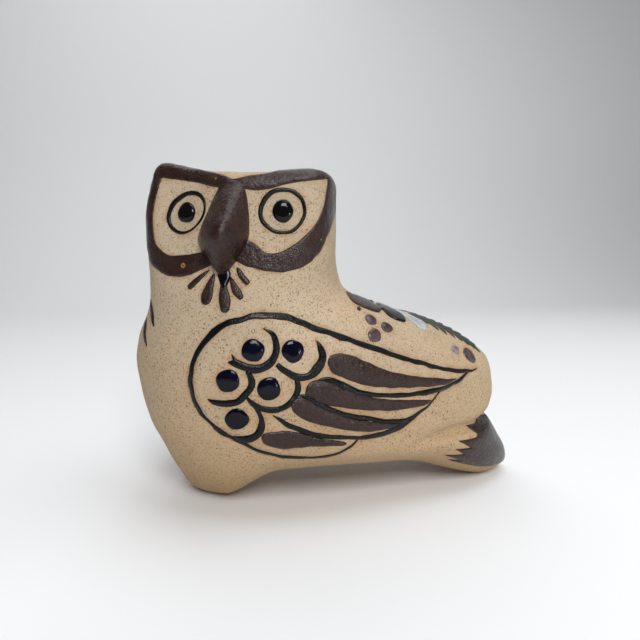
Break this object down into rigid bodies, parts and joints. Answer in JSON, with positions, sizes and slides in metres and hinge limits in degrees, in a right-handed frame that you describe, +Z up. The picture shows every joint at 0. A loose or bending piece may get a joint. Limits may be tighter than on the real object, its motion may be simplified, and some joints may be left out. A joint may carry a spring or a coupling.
{
  "type": "ceramic owl figurine",
  "caption": "Hollow hand-painted stoneware owl figurine with turned head, applied beak, raised slip wings and glazed tail tip.",
  "frame": {"origin": "middle of the footprint box, on the surface the owl stands on", "axes": "+X from the breast to the tail, -Y to the owl's own left, where the face looks, +Z up"},
  "size_m": [0.1195, 0.0637, 0.0981],
  "materials": {
    "clay": "matt speckled stoneware",
    "brown_glaze": "semi-gloss, lightly pitted",
    "black_glaze": "glossy raised line",
    "cobalt_glaze": "glossy",
    "pale_glaze": "glossy",
    "green_glaze": "semi-gloss"
  },
  "bodies": {
    "root": {"shell_left": "clay", "shell_right": "clay", "beak": "brown_glaze", "mask_left": "brown_glaze", "mask_right": "brown_glaze", "eye_ring_left": "black_glaze", "eye_ring_right": "black_glaze", "pupil_left": "black_glaze", "pupil_right": "black_glaze", "chin_drop": "cobalt_glaze", "throat_stroke_1": "brown_glaze", "throat_stroke_2": "brown_glaze", "throat_stroke_3": "brown_glaze", "throat_stroke_4": "brown_glaze", "throat_stroke_5": "brown_glaze", "wing_linework_left": "black_glaze", "wing_linework_right": "black_glaze", "wing_coverts_left": "black_glaze", "wing_coverts_right": "black_glaze", "wing_dot_1_left": "cobalt_glaze", "wing_dot_2_left": "cobalt_glaze", "wing_dot_3_left": "cobalt_glaze", "wing_dot_4_left": "cobalt_glaze", "wing_dot_5_left": "cobalt_glaze", "wing_dot_1_right": "cobalt_glaze", "wing_dot_2_right": "cobalt_glaze", "wing_dot_3_right": "cobalt_glaze", "wing_dot_4_right": "cobalt_glaze", "wing_dot_5_right": "cobalt_glaze", "feather_1_left": "brown_glaze", "feather_2_left": "brown_glaze", "feather_3_left": "brown_glaze", "feather_4_left": "brown_glaze", "feather_1_right": "brown_glaze", "feather_2_right": "brown_glaze", "feather_3_right": "brown_glaze", "feather_4_right": "brown_glaze", "breast_mark_upper_left": "brown_glaze", "breast_mark_upper_right": "brown_glaze", "breast_mark_lower_left": "brown_glaze", "breast_mark_lower_right": "brown_glaze", "petal_brown_left": "brown_glaze", "petal_brown_right": "brown_glaze", "petal_black_left": "black_glaze", "petal_black_right": "black_glaze", "petal_white_left": "pale_glaze", "petal_white_right": "pale_glaze", "leaf_left": "green_glaze", "leaf_right": "green_glaze", "back_drop_1_left": "brown_glaze", "back_drop_2_left": "brown_glaze", "back_drop_3_left": "brown_glaze", "back_drop_4_left": "brown_glaze", "back_drop_5_left": "pale_glaze", "back_drop_6_left": "brown_glaze", "back_drop_1_right": "brown_glaze", "back_drop_2_right": "brown_glaze", "back_drop_3_right": "brown_glaze", "tail_tip_glaze": "brown_glaze"}
  },
  "joints": []
}
